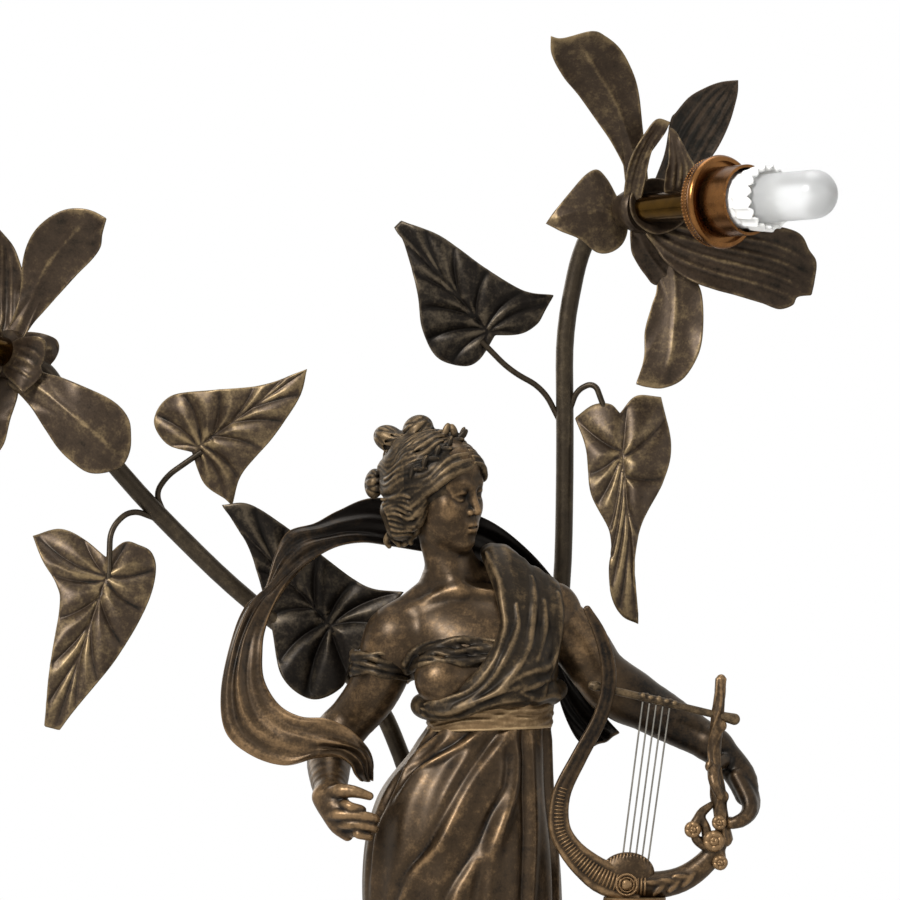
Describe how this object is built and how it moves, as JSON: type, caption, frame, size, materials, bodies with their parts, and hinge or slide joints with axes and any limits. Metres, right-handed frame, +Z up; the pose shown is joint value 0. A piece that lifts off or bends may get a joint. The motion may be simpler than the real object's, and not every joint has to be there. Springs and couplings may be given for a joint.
{
  "type": "figural newel post lamp",
  "caption": "Figural newel post lamp: a draped maiden with a lyre on a round base, between two flowering stems whose leaves and blossoms carry outward-turned lampholders with tubular bulbs.",
  "frame": {"origin": "mouth of the newel rod's bore, in the middle of the base's underside", "axes": "+Z up, front of the figure towards -Y, +X to the viewer's right"},
  "size_m": [0.5012, 0.2, 0.685],
  "materials": {
    "bronze_patina": "bronze-brown patina, rubbed satin",
    "leaf_bronze": "dark bronze patina, satin",
    "antique_brass": "aged satin brass",
    "copper_bronze": "aged copper-bronze",
    "steel": "zinc-plated",
    "porcelain": "white glaze",
    "frosted_glass": "frosted white",
    "insulation": "brown insulation"
  },
  "bodies": {
    "lamp": {"base_mound": "bronze_patina", "base_plate": "steel", "base_plate_screws": "steel", "base_plinth": "bronze_patina", "figure_arm_left": "bronze_patina", "figure_arm_right": "bronze_patina", "figure_belt": "bronze_patina", "figure_bolt": "steel", "figure_drape": "bronze_patina", "figure_feet": "bronze_patina", "figure_hair": "bronze_patina", "figure_head": "bronze_patina", "figure_nut": "steel", "figure_scarf": "bronze_patina", "figure_skirt": "bronze_patina", "figure_torso": "bronze_patina", "flower_hub_left": "leaf_bronze", "flower_hub_right": "leaf_bronze", "holder_collar_left": "porcelain", "holder_collar_right": "porcelain", "holder_core_left": "porcelain", "holder_core_right": "porcelain", "holder_cup_left": "antique_brass", "holder_cup_right": "antique_brass", "holder_neck_left": "antique_brass", "holder_neck_right": "antique_brass", "inner_petals_left": "leaf_bronze", "inner_petals_right": "leaf_bronze", "leaf_left_back": "leaf_bronze", "leaf_left_lower": "leaf_bronze", "leaf_left_upper": "leaf_bronze", "leaf_right_lower": "leaf_bronze", "leaf_right_upper": "leaf_bronze", "leaf_stalks_left": "leaf_bronze", "leaf_stalks_right": "leaf_bronze", "lyre_bridge": "bronze_patina", "lyre_crossbar": "bronze_patina", "lyre_frame": "bronze_patina", "lyre_ornaments": "bronze_patina", "lyre_pedestal": "bronze_patina", "lyre_post": "bronze_patina", "lyre_strings": "bronze_patina", "outer_petals_left": "leaf_bronze", "outer_petals_right": "leaf_bronze", "stem_left": "leaf_bronze", "stem_nuts": "steel", "stem_right": "leaf_bronze", "terminal_block": "insulation", "wire_left": "insulation", "wire_right": "insulation"},
    "bulb_glass_right": {"bulb_glass_right": "frosted_glass"},
    "bulb_cap_right": {"bulb_cap_right": "antique_brass"},
    "shade_flange_right": {"shade_flange_right": "copper_bronze"},
    "knurled_ring_right": {"knurled_ring_right": "copper_bronze"},
    "bulb_glass_left": {"bulb_glass_left": "frosted_glass"},
    "bulb_cap_left": {"bulb_cap_left": "antique_brass"},
    "shade_flange_left": {"shade_flange_left": "copper_bronze"},
    "knurled_ring_left": {"knurled_ring_left": "copper_bronze"}
  },
  "joints": [
    {"name": "bulb_travel_right", "type": "slide", "parent": "lamp", "child": "bulb_cap_right", "axis": [0.6691, -0.7431, 0], "range_m": [0, 0.00846]},
    {"name": "bulb_turn_right", "type": "hinge", "parent": "bulb_cap_right", "child": "bulb_glass_right", "pos_m": [0.0775, 0.014, 0.597], "axis": [0.6691, -0.7431, 0], "range_deg": [0, 1085]},
    {"name": "flange_travel_right", "type": "slide", "parent": "lamp", "child": "shade_flange_right", "axis": [0.6691, -0.7431, 0], "range_m": [0, 0.003]},
    {"name": "ring_turn_right", "type": "hinge", "parent": "shade_flange_right", "child": "knurled_ring_right", "pos_m": [0.0775, 0.014, 0.597], "axis": [0.6691, -0.7431, 0], "range_deg": [0, 723]},
    {"name": "bulb_travel_left", "type": "slide", "parent": "lamp", "child": "bulb_cap_left", "axis": [-0.6493, -0.7211, 0.2419], "range_m": [0, 0.00846]},
    {"name": "bulb_turn_left", "type": "hinge", "parent": "bulb_cap_left", "child": "bulb_glass_left", "pos_m": [-0.244, 0, 0.524], "axis": [-0.6493, -0.7211, 0.2419], "range_deg": [0, 1085]},
    {"name": "flange_travel_left", "type": "slide", "parent": "lamp", "child": "shade_flange_left", "axis": [-0.6493, -0.7211, 0.2419], "range_m": [0, 0.003]},
    {"name": "ring_turn_left", "type": "hinge", "parent": "shade_flange_left", "child": "knurled_ring_left", "pos_m": [-0.244, 0, 0.524], "axis": [-0.6493, -0.7211, 0.2419], "range_deg": [0, 723]}
  ],
  "couplings": [
    {"joint": "bulb_turn_right", "follows": "bulb_travel_right", "rad_per_m": 2228.1},
    {"joint": "ring_turn_right", "follows": "flange_travel_right", "rad_per_m": 4188.8},
    {"joint": "bulb_turn_left", "follows": "bulb_travel_left", "rad_per_m": 2228.1},
    {"joint": "ring_turn_left", "follows": "flange_travel_left", "rad_per_m": 4188.8}
  ]
}
